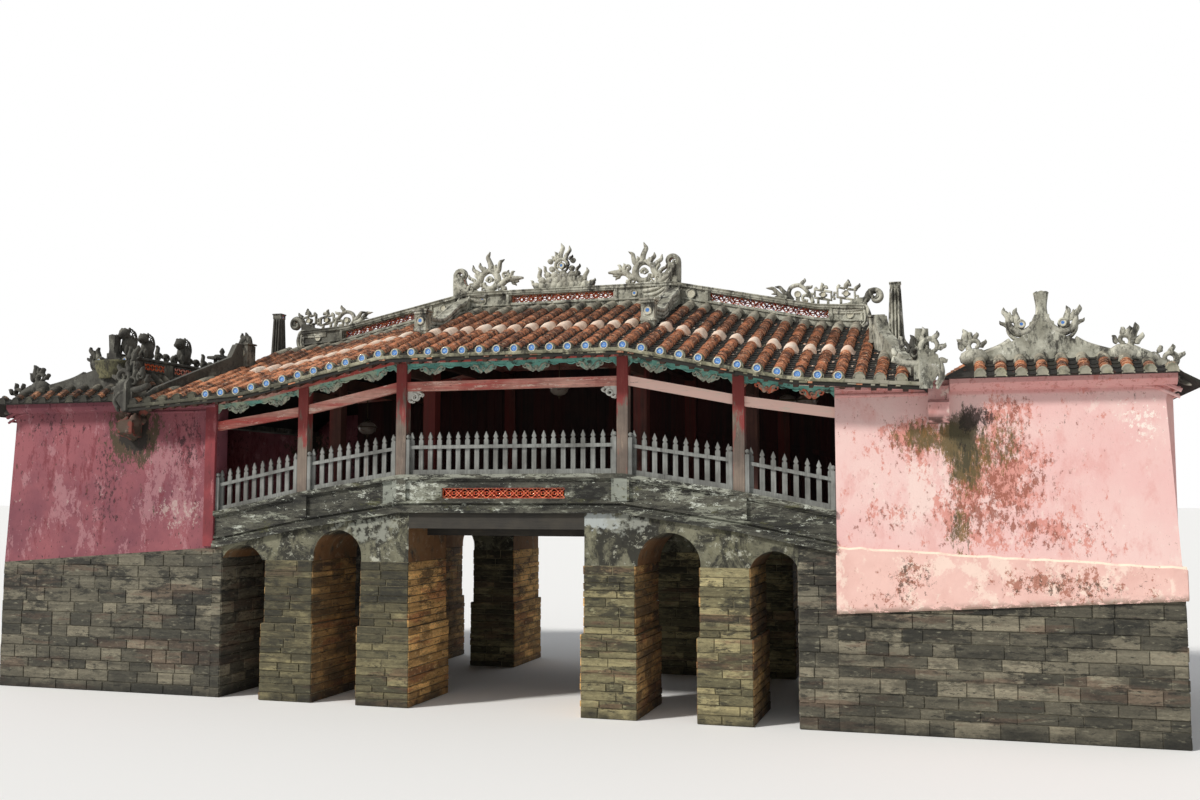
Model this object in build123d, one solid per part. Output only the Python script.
from build123d import *
import math
import os

# Old covered bridge, drawn in millimetres.
# X runs along the bridge, Y across it away from the street side, Z up.
# The origin is the middle of the centre bay, on the bridge axis, at pier foot level.
# Pieces are drawn for the near side and mirrored for the far side.
# A side number of -1 means the west half and 1 the east half.

# Bridge widths and levels
HALF_W = 2850            # bridge axis to the outer faces of the parapets
EDGE_T = 300             # thickness of parapets and end house walls
INNER_W = HALF_W - EDGE_T
COPING_Z = 3390          # top of the parapet in the middle of the bridge
PARAPET_H = 560          # parapet with its cornice
FLOOR_DROP = 300         # floor below the coping
DECK_T = 260             # floor slab
FLOOR_Z = COPING_Z - FLOOR_DROP
PARAPET_UNDER = COPING_Z - PARAPET_H

# Main roof
EAVE_Z = 5130            # centre line of the lowest tiles in the middle
OVERHANG = 480           # eave beyond the parapet face
ROOF_CLIMB = 0.351       # rise of the roof over its run
ROOF_T = 100             # roof slab, measured upright
TILE_BED = 20            # slab top below the tile centre line
SECTION_JOINT = 1        # joint between the three sections of a slope
ROW_HALF = 64            # half width of a row of cover tiles
ROW_H = 62               # its height over the slab
RUN = HALF_W + OVERHANG  # level distance from the eave to the ridge
BED_Z = EAVE_Z - TILE_BED
SLAB_UNDER = BED_Z - ROOF_T
RIDGE_Z = BED_Z + RUN * ROOF_CLIMB
ABOVE = 2 * EAVE_Z       # a height that clears the whole bridge

# End houses
HOUSE_OUT = 8840         # outer face of the end houses
HOUSE_EAVE = 240         # eave beyond the street front
HOUSE_SIDE_EAVE = 300    # eave beyond the side walls
HOUSE_TOP = 4580         # wall top
SKIRT_TOP = 4820         # top of the low slopes round the cap
CAP_HALF = {-1: 1250, 1: 850}        # ridge of the cap to its foot on the street side
CAP_REACH = HALF_W - 60  # axis to the gables of the cap
CAP_RISE = 330
DOOR_W = 2400
DOOR_H = 2150

# Bends of the walkway and of the eave, as a distance from the middle and a drop
RISE = [(0, 0), (1710, 0), (3360, -250), (4770, -535), (HOUSE_OUT, -1090)]
EAVE = [(0, 0), (1820, 0), (4150, -480), (6300, -631)]
ROOF_BEND = EAVE[1][0]

# Measures that differ between the two ends
WALL_IN = {-1: 4880, 1: 4660}        # end house wall towards the water
RIDGE_END = {-1: 5310, 1: 5150}      # gable plane of the main roof
HIP_CORNER = {-1: 6250, 1: 5860}     # corner of the main roof
HIP_TOP = {-1: 5230, 1: 5250}        # top of the small end slope
HOUSE_RIDGE = {-1: 6940, 1: 7300}    # ridge of the end house
GROUND = {-1: (2280, 2000), 1: (1550, 1820)}  # ground at the wall, at the water and at the street
VALLEY_GAP = 140                     # corner of the main roof to the middle of the valley

# Timber
POST = 160
POST_X = [1710, 3360]
POST_Y = HALF_W - POST / 2
COLUMN = 200
COLUMN_Y = HALF_W - 1090
PLATE_W = 120
PLATE_H = 140
LINTEL_UNDER = EAVE_Z - 500
LINTEL_H = 140
LINTEL_T = 90
FASCIA_T = 25

# Railings
RAIL_TOP = 430
RAIL_H = 50
RAIL_T = 30
FENCE_FOOT = 70
PICKET_TOP = 630
PICKET_STEP = 147
PICKET_W = 68
PICKET_T = 30

# Piers as side, inner and outer edge, and arches with the height of their crown
PIERS = [(-1, 1560, 2330), (-1, 3150, 3950), (1, 1155, 1885), (1, 2810, 3495)]
ARCHES = [(-1, 2330, 3130, 2565), (-1, 4010, 4720, 2330), (1, 1930, 2820, 2565), (1, 3500, 4150, 2330)]
ARCH_IN = {-1: 1560, 1: 1155}
ARCH_END = {-1: 4720, 1: 4150}
SPRING = 2100
PIER_DEPTH = 1350
FOOT_TOP = 1150          # height of the wider lower part of a pier
FOOT_OUT = 35

# Beams under the floor
EDGE_BEAM = (260, PARAPET_UNDER - 2600)
FLOOR_BEAM = (220, PARAPET_UNDER - 2480)
FLOOR_BEAM_Y = [0, 0.36 * INNER_W, 0.82 * INNER_W]
GIRDER = (260, 330)

# Lattice windows
LATTICE_X = (-1040, 860)
LATTICE_TOP = 200        # below the coping
LATTICE_H = 150
LATTICE_BAR = 18

# Ridges
RIDGE_H = 310
RIDGE_HALF_T = 110
CAP_HALF_T = 145
CAP_H = 60
RIDGE_BREAK = {-1: 2110, 1: 1980}    # ends of the centre ridge
HORN = {-1: 2090, 1: 1890}           # outer edges of its horns
RIDGE_WINDOW_H = 130
RIDGE_WINDOWS = {0: (-1030, 800), -1: (-4200, -2550), 1: (2430, 4330)}
RUN_RIDGE_X = 1850       # ridges that run down beside the centre roof
RUN_RIDGE_END = 1740
SMALL_PILLAR = 100
ROW_STEP = RUN_RIDGE_X / 7
PILLAR_W = 130
PILLAR_H = 940
CURL_T = 60


def along(profile, x):
    """Drop of a bent profile line at the distance |x| from the middle."""
    x = abs(x)
    for (xa, za), (xb, zb) in zip(profile, profile[1:]):
        if x <= xb:
            return za + (zb - za) * (x - xa) / (xb - xa)
    return profile[-1][1]


def bends(profile, x0, x1):
    """The two ends and all bends of the profile between them."""
    xs = {x0, x1}
    for x, _ in profile:
        xs.update(side * x for side in (-1, 1) if x0 < side * x < x1)
    return sorted(xs)


def band(profile, x0, x1, top, bottom):
    """Outline of a strip that follows a profile line."""
    xs = bends(profile, min(x0, x1), max(x0, x1))
    upper = [(x, along(profile, x) + top) for x in xs]
    lower = [(x, along(profile, x) + bottom) for x in reversed(xs)]
    return upper + lower


def box(x0, x1, y0, y1, z0, z1):
    """A block between two corners, given in any order."""
    middle = Pos((x0 + x1) / 2, (y0 + y1) / 2, (z0 + z1) / 2)
    return middle * Box(abs(x1 - x0), abs(y1 - y0), abs(z1 - z0))


def outline_face(points):
    """A flat face inside the points, without doubled points."""
    kept = [p for p, q in zip(points, points[1:] + points[:1]) if math.dist(p, q) > 1]
    return make_face(Polyline(*kept, close=True))


def prism_y(points, y0, y1, climb=0.0):
    """A side outline of (x, z) points carried from y0 to y1, climbing if asked."""
    plane = Plane(origin=(0, y0, 0), x_dir=(1, 0, 0), z_dir=(0, -1, 0))
    run = y1 - y0
    reach = math.hypot(run, climb * abs(run))
    way = (0, run / reach, climb * abs(run) / reach)
    return extrude(plane * outline_face(points), amount=reach, dir=way)


def prism_x(points, x0, x1):
    """A cross-section of (y, z) points carried from x0 to x1."""
    plane = Plane(origin=(x0, 0, 0), x_dir=(0, 1, 0), z_dir=(1, 0, 0))
    return extrude(plane * outline_face(points), amount=x1 - x0)


def prism_z(points, z0, z1):
    """A plan of (x, y) points carried from z0 to z1."""
    return Pos(0, 0, z0) * extrude(outline_face(points), amount=z1 - z0)


def far(shape):
    """The same piece on the far side of the bridge."""
    return mirror(shape, about=Plane.XZ)


def both(shapes):
    """Near pieces together with their far copies."""
    return shapes + [far(shape) for shape in shapes]


def on_side(side, a, b):
    """Two distances from the middle as X values in rising order."""
    return (a, b) if side > 0 else (-b, -a)


def turned(side, points):
    """An outline drawn for the east half, laid on the given side."""
    return [(side * x, z) for x, z in points]


def highest(shape):
    """The upper solid where a cut has left two."""
    return shape.solids().sort_by(Axis.Z)[-1]


def save(name, shapes):
    """Write one node, which holds one solid or several that stand apart."""
    solids = [solid for shape in shapes for solid in shape.solids()]
    export_step(solids[0] if len(solids) == 1 else Compound(solids), f"parts/{name}.step")


# Masonry below the floor

def pier(side, inner, outer):
    """One pier of the near row, with its wider foot."""
    x0, x1 = on_side(side, inner, outer)
    y0, y1 = -HALF_W, -HALF_W + PIER_DEPTH
    shaft = box(x0, x1, y0, y1, 0, SPRING)
    foot = box(x0 - FOOT_OUT, x1 + FOOT_OUT, y0 - FOOT_OUT, y1 + FOOT_OUT, 0, FOOT_TOP)
    return shaft + foot


def arch_opening(side, inner, outer, crown):
    """Space under one arch: a round or flatter curve over straight sides."""
    x0, x1 = on_side(side, inner, outer)
    start = max(SPRING, crown - (x1 - x0) / 2)
    below = SPRING - EDGE_T
    curve = ThreePointArc((x0, start), ((x0 + x1) / 2, crown), (x1, start))
    sides = Polyline((x1, start), (x1, below), (x0, below), (x0, start))
    plane = Plane(origin=(0, -HALF_W - EDGE_T, 0), x_dir=(1, 0, 0), z_dir=(0, -1, 0))
    return extrude(plane * make_face(Curve() + curve + sides), amount=-(PIER_DEPTH + 2 * EDGE_T))


def arch_wall(side):
    """Wall over the two arches of one half, from the centre opening to the bank."""
    x0, x1 = on_side(side, ARCH_IN[side], ARCH_END[side])
    top = [(x, PARAPET_UNDER + along(RISE, x)) for x in bends(RISE, x0, x1)]
    wall = prism_y(top + [(x1, SPRING), (x0, SPRING)], -HALF_W, -HALF_W + PIER_DEPTH)
    for arch in ARCHES:
        if arch[0] == side:
            wall -= arch_opening(*arch)
    return wall


def bank_outline(side, inner, outer):
    """Outline from the foot up to the underside of the floor between two distances."""
    xs = bends(RISE, *on_side(side, inner, outer))
    top = [(x, FLOOR_Z - DECK_T + along(RISE, x)) for x in xs]
    return [(xs[0], 0)] + top + [(xs[-1], 0)]


def abutment(side):
    """Bank block under one end house, with a shelf on each side for the house wall."""
    water, wall, street = ARCH_END[side], WALL_IN[side], HOUSE_OUT
    at_water, at_street = GROUND[side]
    core = prism_y(bank_outline(side, water, street), -INNER_W, INNER_W)
    shoulder = prism_y(bank_outline(side, water, wall), -HALF_W, -INNER_W)
    shelf = turned(side, [(wall, 0), (street, 0), (street, at_street), (wall, at_water)])
    edge = shoulder + prism_y(shelf, -HALF_W, -INNER_W)
    return core + edge + far(edge)


# Floor and the beams under it

def deck():
    """Floor slab from street to street."""
    return prism_y(band(RISE, -HOUSE_OUT, HOUSE_OUT, FLOOR_Z, FLOOR_Z - DECK_T), -INNER_W, INNER_W)


def span_beams():
    """Timber beams over the centre opening, the outer ones under the parapets."""
    x0, x1 = -ARCH_IN[-1], ARCH_IN[1]
    beams = []
    for y in FLOOR_BEAM_Y:
        wide, deep = FLOOR_BEAM
        beams.append(box(x0, x1, -y - wide / 2, -y + wide / 2, PARAPET_UNDER - deep, PARAPET_UNDER))
    wide, deep = EDGE_BEAM
    beams.append(box(x0, x1, -HALF_W, -HALF_W + wide, PARAPET_UNDER - deep, PARAPET_UNDER))
    return beams[:1] + both(beams[1:])


def cross_girders():
    """Cross timbers between the two rows of piers, under the middle of the floor."""
    wide, deep = GIRDER
    reach = HALF_W - PIER_DEPTH
    girders = []
    for side, inner, outer in PIERS:
        middle = side * (inner + outer) / 2
        top = FLOOR_Z - DECK_T + along(RISE, abs(middle) + wide / 2)
        girders.append(box(middle - wide / 2, middle + wide / 2, -reach, reach, top - deep, top))
    return girders


# Parapets

def parapet_strip(top, bottom, out):
    """A level band of the near parapet that stands out by the given amount."""
    return prism_y(band(RISE, -WALL_IN[-1], WALL_IN[1], COPING_Z - top, COPING_Z - bottom), -HALF_W - out, -INNER_W)


def parapet():
    """Near parapet with coping, moulded strips, blocks under the posts and the lattice opening."""
    wall = parapet_strip(0, PARAPET_H, 0)
    for top, bottom, out in ((0, 70, 45), (70, 95, 25), (385, 420, 30), (455, 500, 45), (500, PARAPET_H, 65)):
        wall += parapet_strip(top, bottom, out)
    for side in (-1, 1):
        for x in POST_X:
            low, high = along(RISE, x) + COPING_Z - 385, along(RISE, x) + COPING_Z - 70
            wall += box(side * x - 110, side * x + 110, -HALF_W - 45, -INNER_W, low, high)
    z1 = COPING_Z - LATTICE_TOP
    return wall - box(*LATTICE_X, -HALF_W - EDGE_T, -INNER_W + EDGE_T, z1 - LATTICE_H, z1)


def crossed_bars(x0, x1, z, height, y0, y1, profile, cell=1.0):
    """A row of crossing bars between two X values, following a profile line."""
    count = round((x1 - x0) / (height * cell))
    pitch = (x1 - x0) / count
    half = LATTICE_BAR / 2
    grid = Part()
    for i in range(count):
        xa, xb = x0 + i * pitch, x0 + (i + 1) * pitch
        za, zb = z + along(profile, xa), z + along(profile, xb)
        for start, end in ((za, zb + height), (za + height, zb)):
            bar = [(xa - half, start), (xa + half, start), (xb + half, end), (xb - half, end)]
            grid += prism_y(bar, y0, y1)
    return grid & prism_y(band(profile, x0, x1, z + height, z), y0, y1)


def lattice_window():
    """Glazed lattice in its frame, set in the near parapet."""
    x0, x1 = LATTICE_X
    z1 = COPING_Z - LATTICE_TOP
    z0 = z1 - LATTICE_H
    y0, y1 = -HALF_W + 40, -HALF_W + 75
    rim = LATTICE_BAR * 0.6
    frame = box(x0, x1, y0, y1, z0, z1) - box(x0 + rim, x1 - rim, y0, y1, z0 + rim, z1 - rim)
    return frame + crossed_bars(x0, x1, z0, LATTICE_H, y0, y1, RISE[:2], cell=1.2)


# Timber frame

def roof_under(y):
    """Underside of the slabs in the middle of the bridge, at the distance |y| from the axis."""
    return SLAB_UNDER + (RUN - abs(y)) * ROOF_CLIMB


def above_plate(y):
    """Everything above the underside of the roof beam at the given Y."""
    low = roof_under(abs(y) + PLATE_W / 2) - PLATE_H
    return prism_y(band(EAVE, -HOUSE_OUT, HOUSE_OUT, 2 * ABOVE, low), y - PLATE_W * 2, y + PLATE_W * 2)


def below(level, y):
    """Everything below a level that follows the walkway, near the given Y."""
    return prism_y(band(RISE, -HOUSE_OUT, HOUSE_OUT, level, -EAVE_Z), y - COLUMN * 2, y + COLUMN * 2)


def upright(side, x, y, wide, level):
    """A square upright from a level that follows the walkway up to its roof beam."""
    shaft = box(side * x - wide / 2, side * x + wide / 2, y - wide / 2, y + wide / 2, 0, ABOVE)
    return shaft - below(level, y) - above_plate(y)


def posts():
    """Outer posts on the near parapet."""
    return [upright(side, x, -POST_Y, POST, COPING_Z) for side in (-1, 1) for x in POST_X]


def inner_columns():
    """Inner columns of the near side, standing on the floor."""
    return [upright(side, x, -COLUMN_Y, COLUMN, FLOOR_Z) for side in (-1, 1) for x in POST_X]


def roof_beams():
    """Beams over posts and columns, and the ridge beam, each bent with the roof."""
    beams = []
    for y in (POST_Y, COLUMN_Y):
        top = roof_under(y + PLATE_W / 2)
        outline = band(EAVE, -WALL_IN[-1], WALL_IN[1], top, top - PLATE_H)
        beams.append(prism_y(outline, -y - PLATE_W / 2, -y + PLATE_W / 2))
    top = roof_under(PLATE_W / 2)
    ridge_beam = band(EAVE, -RIDGE_END[-1], RIDGE_END[1], top, top - PLATE_H)
    return both(beams) + [prism_y(ridge_beam, -PLATE_W / 2, PLATE_W / 2)]


def bays():
    """Clear stretches between the posts and the end house walls, from west to east."""
    edges = [-WALL_IN[-1], -POST_X[1], -POST_X[0], POST_X[0], POST_X[1], WALL_IN[1]]
    last = len(edges) - 2
    for i, (xa, xb) in enumerate(zip(edges, edges[1:])):
        yield xa + (POST / 2 if i > 0 else 0), xb - (POST / 2 if i < last else 0)


def curl(x, z, radius, start, turn, thick):
    """Outline of a tapering scroll: a spiral from its outer end to its eye."""
    steps = 10
    outer, inner = [], []
    for i in range(steps + 1):
        t = i / steps
        angle = math.radians(start + turn * t)
        mid = radius * (1 - 0.72 * t)
        half = thick / 2 * (1 - 0.45 * t)
        outer.append((x + (mid + half) * math.cos(angle), z + (mid + half) * math.sin(angle)))
        inner.append((x + (mid - half) * math.cos(angle), z + (mid - half) * math.sin(angle)))
    return outer + inner[::-1]


def lintels():
    """Rails between the posts, one to each bay, the middle one with scroll brackets."""
    rails = []
    y0, y1 = -POST_Y - LINTEL_T / 2, -POST_Y + LINTEL_T / 2
    for a, b in bays():
        za, zb = LINTEL_UNDER + along(EAVE, a), LINTEL_UNDER + along(EAVE, b)
        rail = prism_y([(a, za), (b, zb), (b, zb + LINTEL_H), (a, za + LINTEL_H)], y0, y1)
        if a < 0 < b:
            for side, end in ((-1, a), (1, b)):
                foot = [(0, 0), (-190, 0), (-175, -22), (-120, -30), (-70, -75), (-30, -110), (0, -115)]
                bracket = prism_y([(end + side * x, za + z) for x, z in foot], y0 + 25, y1 - 25)
                rail += bracket
        rails.append(rail)
    return rails


def tie_beams():
    """Cross ties of the four frames, with short ties out to the posts."""
    ties = []
    half_w, deep = 60, 200
    for side in (-1, 1):
        for x in POST_X:
            edge = along(EAVE, x + half_w)
            top = roof_under(COLUMN_Y) + edge - PLATE_H - 100
            reach = COLUMN_Y - COLUMN / 2
            ties.append(box(side * x - half_w, side * x + half_w, -reach, reach, top - deep, top))
            top = roof_under(POST_Y) + edge - PLATE_H - 60
            short = box(side * x - half_w, side * x + half_w, -POST_Y + POST / 2, -COLUMN_Y - COLUMN / 2,
                        top - PLATE_H, top)
            ties += both([short])
    return ties


def fascia():
    """Carved boards under the near eave, two lobed boards in the middle and one to each other bay."""
    stretches = []
    for a, b in bays():
        stretches += [(a, -SECTION_JOINT), (SECTION_JOINT, b)] if a < 0 < b else [(a, b)]
    top = roof_under(POST_Y + PLATE_W / 2) - PLATE_H
    lobe = [(-0.34, 60), (-0.20, 75), (-0.17, 130), (-0.10, 165), (0, 150), (0.10, 165), (0.17, 130),
            (0.20, 75), (0.34, 60)]
    boards = []
    for a, b in stretches:
        low = [(a, 150), (a + 70, 70)]
        lobes = 2
        for i in range(lobes):
            middle = a + (b - a) * (i + 0.5) / lobes
            low += [(middle + dx * (b - a) / lobes, drop) for dx, drop in lobe]
        low += [(b - 70, 70), (b, 150)]
        upper = [(x, top + along(EAVE, x)) for x in bends(EAVE, a, b)]
        lower = [(x, top + along(EAVE, x) - drop) for x, drop in reversed(low)]
        boards.append(prism_y(upper + lower, -POST_Y - 20 - FASCIA_T, -POST_Y - 20))
    return boards


# Railings

def picket(x, z, notched):
    """One flat picket with a pointed head, and a notched neck on the near side."""
    half, neck = PICKET_W / 2, PICKET_W / 4
    notch = [(half, 505), (neck, 525)] if notched else []
    right = [(half, FENCE_FOOT / 2)] + notch + [(half, 548), (0, PICKET_TOP)]
    left = [(-dx, dz) for dx, dz in reversed(right[:-1])]
    return prism_y([(x + dx, z + dz) for dx, dz in right + left], -POST_Y - PICKET_T / 2, -POST_Y + PICKET_T / 2)


def railing(xa, xb, notched=True):
    """Picket fence of one bay, standing on the coping between two posts, with its rail in front."""
    foot = prism_y(band(RISE, xa, xb, COPING_Z + FENCE_FOOT, COPING_Z), -POST_Y - 30, -POST_Y + 30)
    rail = band(RISE, xa, xb, COPING_Z + RAIL_TOP, COPING_Z + RAIL_TOP - RAIL_H)
    fence = foot + prism_y(rail, -POST_Y - PICKET_T / 2 - RAIL_T, -POST_Y - PICKET_T / 2)
    count = round((xb - xa) / PICKET_STEP)
    step = (xb - xa) / count
    for i in range(count):
        x = xa + step * (i + 0.5)
        fence += picket(x, COPING_Z + along(RISE, x), notched)
    return fence


def rear_partition():
    """Closed boarded walls between the far columns."""
    top = roof_under(COLUMN_Y + PLATE_W / 2) - PLATE_H
    ends = -WALL_IN[-1], WALL_IN[1]
    upper = [(x, top + along(EAVE, x)) for x in bends(EAVE, *ends)]
    lower = [(x, FLOOR_Z + along(RISE, x)) for x in reversed(bends(RISE, *ends))]
    wall = prism_y(upper + lower, COLUMN_Y - 30, COLUMN_Y + 30)
    for side in (-1, 1):
        for x in POST_X:
            wall -= box(side * x - COLUMN / 2, side * x + COLUMN / 2, COLUMN_Y - COLUMN, COLUMN_Y + COLUMN, 0, ABOVE)
    return wall


# Main roof

def hip_y(side):
    """Distance from the axis at which the end slope meets the gable."""
    return RUN - (HIP_TOP[side] - EAVE_Z - along(EAVE, RIDGE_END[side])) / ROOF_CLIMB


def slope_slab(top, bottom, x0=-HOUSE_OUT, x1=HOUSE_OUT):
    """Near slope as a bent slab between two levels, with no hips cut."""
    return prism_y(band(EAVE, x0, x1, top, bottom), -RUN, 0, ROOF_CLIMB)


def tile_row(x):
    """One row of cover tiles up the near slope, which stops below a ridge that runs down there."""
    z = BED_Z + along(EAVE, x)
    section = [(-ROW_HALF, -ROOF_T / 4), (ROW_HALF, -ROOF_T / 4), (ROW_HALF, 15), (ROW_HALF * 0.6, ROW_H),
               (-ROW_HALF * 0.6, ROW_H), (-ROW_HALF, 15)]
    under_ridge = abs(abs(x) - RUN_RIDGE_X) < SMALL_PILLAR
    top = RUN_RIDGE_END + 2 * SMALL_PILLAR + 1 if under_ridge else RIDGE_HALF_T + 1
    return prism_y([(x + dx, z + dz) for dx, dz in section], -RUN, -top, ROOF_CLIMB)


def roof_slope():
    """Near slope with its tile rows, in three sections that meet at the bends, with both hips cut."""
    west, east = -HIP_CORNER[-1], HIP_CORNER[1]
    plan = [(west, -RUN), (east, -RUN), (RIDGE_END[1], -hip_y(1)), (RIDGE_END[1], 0),
            (-RIDGE_END[-1], 0), (-RIDGE_END[-1], -hip_y(-1))]
    cuts = [(west, -ROOF_BEND - SECTION_JOINT), (-ROOF_BEND, ROOF_BEND), (ROOF_BEND + SECTION_JOINT, east)]
    last = int(HIP_CORNER[-1] / ROW_STEP)
    rows = Part() + [tile_row(k * ROW_STEP) for k in range(-last, last + 1)]
    sections = []
    for a, b in cuts:
        section = slope_slab(BED_Z, SLAB_UNDER, a, b) + (rows & box(a, b, -RUN, 0, 0, ABOVE))
        sections.append(section & prism_z(plan, 0, ABOVE))
    return sections


def roof_hip(side):
    """Small end slope of the main roof with the gable triangle over it."""
    xa, xb, hy = RIDGE_END[side], HIP_CORNER[side], hip_y(side)
    za, zb = HIP_TOP[side] - TILE_BED, BED_Z + along(EAVE, HIP_CORNER[side])
    slab = prism_y(turned(side, [(xa, za), (xb, zb), (xb, zb - ROOF_T), (xa, za - ROOF_T)]), -RUN, RUN)
    slab &= prism_z(turned(side, [(xa, -hy), (xb, -RUN), (xb, RUN), (xa, hy)]), 0, ABOVE)
    crown = RIDGE_Z + along(EAVE, xa)
    outline = [(-hy, za), (-hy, za - ROOF_T), (hy, za - ROOF_T), (hy, za), (0, crown)]
    return slab + prism_x(outline, side * xa, side * (xa + 90))


def roof_body():
    """Both slopes of the main roof as one thick body, to cut what stands on them."""
    slab = slope_slab(BED_Z, BED_Z - 6 * ROOF_T)
    return slab + far(slab)


def swept_end(x0, x1, z0, lift):
    """Points that leave x0 level and rise steeply to x1, as a quarter of an ellipse."""
    steps = 5
    points = []
    for i in range(1, steps + 1):
        t = math.pi / 2 * i / steps
        points.append((x0 + (x1 - x0) * math.sin(t), z0 + lift * (1 - math.cos(t))))
    return points


def ridge_wall(x0, x1, window, body):
    """Ridge wall with its coping and a lattice window."""
    top = RIDGE_Z + RIDGE_H
    wall = prism_y(band(EAVE, x0, x1, top - CAP_H, RIDGE_Z - CAP_H), -RIDGE_HALF_T, RIDGE_HALF_T) - body
    wall += prism_y(band(EAVE, x0, x1, top, top - CAP_H), -CAP_HALF_T, CAP_HALF_T)
    low = top - CAP_H - 25 - RIDGE_WINDOW_H
    a, b = window
    wall -= prism_y(band(EAVE, a, b, low + RIDGE_WINDOW_H, low), -CAP_HALF_T, CAP_HALF_T)
    return wall + crossed_bars(a, b, low, RIDGE_WINDOW_H, -20, 20, EAVE, cell=1.6)


def ridge_horn(side, x0, x1, lift, half_t, way=1):
    """Upswept end of a ridge with a scroll at its tip that curls over inwards, or outwards."""
    top = RIDGE_Z + RIDGE_H
    za, zb = top + along(EAVE, x0), top + along(EAVE, x1)
    rise = swept_end(x0, x1 - 150, za, zb - za + lift)
    outline = [(x0, za - CAP_H)] + [(x0, za)] + rise + [(x1, rise[-1][1]), (x1, zb - CAP_H)]
    horn = prism_y(turned(side, outline), -half_t, half_t)
    tip = curl(x1 - way * 105, rise[-1][1] + 45, 105, 90 - way * 125, way * 425, CURL_T)
    return horn + prism_y(turned(side, tip), -half_t * 0.7, half_t * 0.7)


def centre_ridge(body):
    """Ridge of the middle roof with a curled horn at each end."""
    ridge = ridge_wall(-RIDGE_BREAK[-1], RIDGE_BREAK[1], RIDGE_WINDOWS[0], body)
    for side in (-1, 1):
        ridge += ridge_horn(side, HORN[side] - 640, HORN[side], 330, RIDGE_HALF_T)
    return ridge


def side_ridge(side, body):
    """Ridge of one side roof, from the middle roof to the end pillar."""
    end = RIDGE_END[side] - 260
    a, b = on_side(side, RIDGE_BREAK[side], end)
    ridge = ridge_wall(a, b, RIDGE_WINDOWS[side], body)
    foot = RIDGE_Z + along(EAVE, end)
    belly = [(-40, -CAP_H), (20, -CAP_H), (60, 50), (70, 140), (50, 230), (-40, 300)]
    ridge += prism_y(turned(side, [(end + x, foot + z) for x, z in belly]), -RIDGE_HALF_T, RIDGE_HALF_T) - body
    return ridge + ridge_horn(side, end - 480, end + 30, 130, RIDGE_HALF_T * 0.7, -1)


def end_pillar(side):
    """Tall fluted pillar outside the gable, standing on the end slope."""
    middle = RIDGE_END[side] + 0.29 * (HIP_CORNER[side] - RIDGE_END[side])
    half, groove = PILLAR_W / 2, PILLAR_W / 16
    edge = [(-half, -half)]
    for i in range(3):
        x = -half + PILLAR_W * (i + 0.5) / 3
        edge += [(x - groove, -half), (x, -half + groove), (x + groove, -half)]
    ring = []
    for quarter in range(4):
        turn = math.radians(90 * quarter)
        ring += [(side * middle + x * math.cos(turn) - y * math.sin(turn), x * math.sin(turn) + y * math.cos(turn))
                 for x, y in edge]
    crown = RIDGE_Z + along(EAVE, RIDGE_END[side])
    shaft = prism_z(ring, crown - PILLAR_H, crown + PILLAR_H * 0.66)
    head = box(side * middle - half - 15, side * middle + half + 15, -half - 15, half + 15,
               crown + PILLAR_H * 0.62, crown + PILLAR_H * 0.7)
    return highest(shaft + head - roof_hip(side))


def running_ridge(side, body):
    """Ridge down the near slope beside the middle roof, with a small pillar at its foot."""
    x = side * RUN_RIDGE_X
    low_y = -RUN_RIDGE_END
    base = BED_Z + along(EAVE, RUN_RIDGE_X)
    foot, head = base + (RUN + low_y) * ROOF_CLIMB, base + (RUN - RIDGE_HALF_T) * ROOF_CLIMB
    outline = [(low_y, foot - CAP_H), (-CAP_HALF_T, head - CAP_H), (-CAP_HALF_T, head + 250)]
    outline += [(low_y * 0.35, head + 40), (low_y * 0.7, foot + 300), (low_y, foot + 230)]
    wall = prism_x(outline, x - RIDGE_HALF_T * 0.8, x + RIDGE_HALF_T * 0.8)
    wall += box(x - SMALL_PILLAR, x + SMALL_PILLAR, low_y - 2 * SMALL_PILLAR, low_y, foot - 200, foot + 330)
    return highest(wall - body)


def hip_ridge(side, slopes):
    """Ridge over the near hip of one end, from a small pillar down to a leaf scroll on the corner."""
    xa, xb = side * RIDGE_END[side], side * HIP_CORNER[side]
    ya, yb = -hip_y(side), -RUN
    za, zb = HIP_TOP[side], EAVE_Z + along(EAVE, HIP_CORNER[side])
    length = math.hypot(xb - xa, yb - ya)
    plane = Plane(origin=(xa, ya, 0), x_dir=((xb - xa) / length, (yb - ya) / length, 0),
                  z_dir=(-(yb - ya) / length, (xb - xa) / length, 0))
    flip = 1 if (plane.y_dir.Z > 0) else -1
    leaf = [(0, 330), (50, 420), (95, 400), (130, 690), (200, 480), (290, 470), (340, 150)]
    outline = [(0, za - ROOF_T), (length, zb - ROOF_T)] + [(length - x, zb + z) for x, z in leaf]
    outline += [(length * 0.75, zb + 0.25 * (za - zb) + 130), (length * 0.15, za + 170), (length * 0.1, za + 400),
                (0, za + 400)]
    wall = extrude(plane * outline_face([(x, flip * z) for x, z in outline]), amount=85, both=True)
    volute = [(-150, -ROOF_T), (0, -ROOF_T), (90, 0), (150, 90), (175, 200), (150, 330), (60, 400), (-60, 390), (-150, 200)]
    wall += prism_y([(xb + side * x, zb + z) for x, z in volute], -RUN + 10, -RUN + 120)
    for slope in slopes:
        wall -= slope
    return highest(wall - roof_hip(side))


# Ornaments on the ridge

def flame():
    """Flame finial in the middle of the ridge, with stepped tongues round a plate."""
    base = RIDGE_Z + RIDGE_H
    half = [(430, 0), (470, 60), (400, 110), (380, 210), (330, 120), (250, 190), (210, 260), (190, 400), (130, 330),
            (120, 500), (60, 440), (30, 640), (0, 790)]
    outline = half + [(-x, z) for x, z in reversed(half[:-1])]
    return prism_y([(x - 75, z + base) for x, z in outline], -55, 55)


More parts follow.
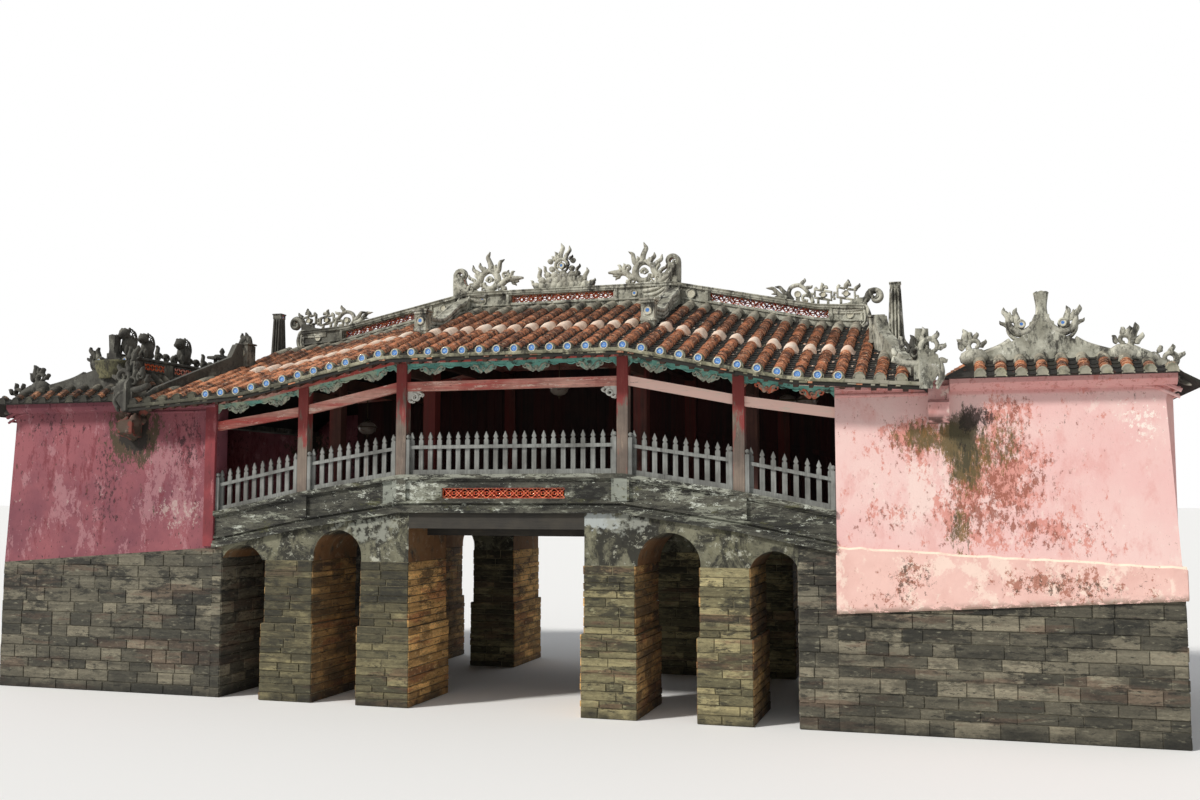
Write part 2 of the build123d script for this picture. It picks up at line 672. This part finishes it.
def dragon(side):
    """Curling dragon on one end of the middle ridge, its head towards the flame."""
    base = RIDGE_Z + RIDGE_H
    outline = [(1050, 0), (1330, 20), (1540, 90), (1650, 230), (1620, 420), (1560, 330), (1500, 470), (1440, 350),
               (1370, 640), (1290, 380), (1180, 470), (1130, 290), (1000, 250), (900, 330), (880, 230), (700, 215),
               (860, 150), (960, 130)]
    return prism_y(turned(side, [(x, z + base) for x, z in outline]), -50, 50)


# End houses

def house_side(side):
    """Near wall of one end house, battered at the street and finished with a cornice."""
    wall, street = WALL_IN[side], HOUSE_OUT
    at_water, at_street = GROUND[side]
    corner = HIP_CORNER[side]
    outline = [(wall, at_water), (street, at_street), (street - 130, HOUSE_TOP - 300), (street, HOUSE_TOP),
               (corner, HOUSE_TOP), (corner, EAVE_Z), (wall, EAVE_Z)]
    body = prism_y(turned(side, outline), -HALF_W, -INNER_W)
    cornice = [(-HALF_W - 110, HOUSE_TOP), (-HALF_W - 110, HOUSE_TOP - 60), (-HALF_W - 45, HOUSE_TOP - 130),
               (-HALF_W, HOUSE_TOP - 150), (-HALF_W, HOUSE_TOP)]
    a, b = on_side(side, corner + 2 * VALLEY_GAP, street)
    body += prism_x(cornice, a, b)
    roof = slope_slab(ABOVE, SLAB_UNDER, *on_side(side, 0, corner))
    return body - roof - roof_hip(side)


def street_front(side):
    """Street wall with the doorway, between the two side walls."""
    floor = FLOOR_Z + along(RISE, HOUSE_OUT - EDGE_T)
    x0, x1 = on_side(side, HOUSE_OUT - EDGE_T, HOUSE_OUT)
    wall = box(x0, x1, -INNER_W, INNER_W, floor, HOUSE_TOP)
    return wall - box(x0, x1, -DOOR_W / 2, DOOR_W / 2, floor, floor + DOOR_H)


def house_spans(side):
    """Inner and outer edges of the end house roof, and of the cap on it."""
    ridge = HOUSE_RIDGE[side]
    eaves = HIP_CORNER[side] + 1.4 * VALLEY_GAP, HOUSE_OUT + HOUSE_EAVE
    return eaves, (max(ridge - CAP_HALF[side], eaves[0] + 110), ridge + CAP_HALF[side])


def house_roof(side):
    """Low slopes round the end house, up to the foot of its cap, with a drooping eave at the street."""
    eaves, cap = house_spans(side)
    reach = HALF_W + HOUSE_SIDE_EAVE
    lengthwise = [(eaves[0], HOUSE_TOP), (HOUSE_OUT, HOUSE_TOP), (eaves[1], HOUSE_TOP - 190),
                  (eaves[1], HOUSE_TOP - 130), (HOUSE_OUT - 60, HOUSE_TOP + 40), (cap[1], SKIRT_TOP), (cap[0], SKIRT_TOP)]
    across = [(-reach, HOUSE_TOP - 200), (reach, HOUSE_TOP - 200), (reach, HOUSE_TOP), (CAP_REACH, SKIRT_TOP),
              (-CAP_REACH, SKIRT_TOP), (-reach, HOUSE_TOP)]
    return prism_y(turned(side, lengthwise), -reach, reach) & prism_x(across, *on_side(side, *eaves))


def gable_half(reach):
    """Swept edge of a gable from its foot to its peak, as distances out and up."""
    foot = [(1, 0), (1, 60), (0.76, 95), (0.56, 170), (0.4, 250), (0.3, 290)]
    peak = [(190, 345), (110, 420), (55, 540), (45, 640), (62, 870), (0, 890)]
    return [(reach * x, z) for x, z in foot] + peak


def house_cap(side):
    """Cap of one end house: tiled saddle, ridge wall and a swept gable with curls at each end."""
    ridge = HOUSE_RIDGE[side]
    inner, outer = house_spans(side)[1]
    cap = prism_y(turned(side, [(inner, SKIRT_TOP), (outer, SKIRT_TOP), (ridge, SKIRT_TOP + CAP_RISE)]),
                  -CAP_REACH, CAP_REACH)
    cap += box(side * ridge - 90, side * ridge + 90, -CAP_REACH, CAP_REACH, SKIRT_TOP + 200, SKIRT_TOP + 580)
    right = [(ridge + x, SKIRT_TOP + z) for x, z in gable_half(outer - ridge + 100)]
    left = [(ridge - x, SKIRT_TOP + z) for x, z in reversed(gable_half(ridge - inner + 60)[:-1])]
    gable = prism_y(turned(side, right + left), -CAP_REACH, -CAP_REACH + 150)
    for way in (-1, 1):
        eye = curl(ridge + way * 240, SKIRT_TOP + 455, 130, 90 - way * -70, way * 330, CURL_T)
        gable += prism_y(turned(side, eye), -CAP_REACH + 20, -CAP_REACH + 130)
    return cap + gable + far(gable)


def spout(side):
    """Rain outlet of the near side at the end of the valley, a chute with a box under it."""
    x = side * (HIP_CORNER[side] + VALLEY_GAP)
    chute, front, top = -HALF_W - 70, -HALF_W - 250, HOUSE_TOP - 80
    outline = [(-HALF_W, top - 490), (-HALF_W, top), (chute, top), (chute, top - 180), (front, top - 230),
               (front, top - 420), (front + 80, top - 480)]
    return prism_x(outline, x - 130, x + 130)


def valley_gutter(side):
    """Trough under the two eaves that meet over the end house, between its side walls."""
    xa, xb = HIP_CORNER[side] - 60, HIP_CORNER[side] + 1.8 * VALLEY_GAP
    floor = SLAB_UNDER + along(EAVE, HIP_CORNER[side]) - 60
    trough = box(side * xa, side * xb, -INNER_W, INNER_W, floor - 30, HOUSE_TOP)
    trough -= box(side * (xa + 20), side * (xb - 20), -INNER_W, INNER_W, floor, HOUSE_TOP)
    return trough - box(side * xa, side * (xa + 20), -INNER_W, INNER_W, floor + 60, HOUSE_TOP)


os.makedirs("parts", exist_ok=True)
slopes = roof_slope()
body = roof_body()

for side, name in ((-1, "west"), (1, "east")):
    save(f"abutment_{name}", [abutment(side)])
    save(f"end_house_walls_{name}", both([house_side(side)]))
    save(f"street_front_{name}", [street_front(side)])
    save(f"end_house_roof_{name}", [house_roof(side)])
    save(f"roof_hip_{name}", [roof_hip(side)])
    save(f"ridge_{name}", [side_ridge(side, body)])

save("end_house_caps", [house_cap(-1), house_cap(1)])
save("valley_gutters", [valley_gutter(-1), valley_gutter(1)])
save("rain_spouts", both([spout(-1), spout(1)]))

for name, shapes in (("piers", [pier(*p) for p in PIERS]), ("arches", [arch_wall(-1), arch_wall(1)]),
                     ("parapet", [parapet()]), ("posts", posts()), ("lintels", lintels()), ("fascia", fascia()),
                     ("roof", slopes)):
    save(f"{name}_near", shapes)
    save(f"{name}_far", [far(shape) for shape in shapes])

save("deck", [deck()])
save("span_beams", span_beams())
save("cross_girders", cross_girders())
save("lattice_windows", both([lattice_window()]))
save("inner_columns", both(inner_columns()))
save("tie_beams", tie_beams())
save("roof_beams", roof_beams())

fences = [railing(a, b) for a, b in bays()]
save("railing_west", fences[:2])
save("railing_centre", fences[2:3])
save("railing_east", fences[3:])
save("railings_far", [far(railing(a, b, notched=False)) for a, b in bays()])
save("rear_partition", [rear_partition()])

save("ridge_centre", [centre_ridge(body)])
save("roof_ridges", both([running_ridge(side, body) for side in (-1, 1)] +
                         [hip_ridge(side, slopes) for side in (-1, 1)]))
save("ridge_ornaments", [flame(), dragon(-1), dragon(1)])
save("ridge_end_pillars", [end_pillar(-1), end_pillar(1)])
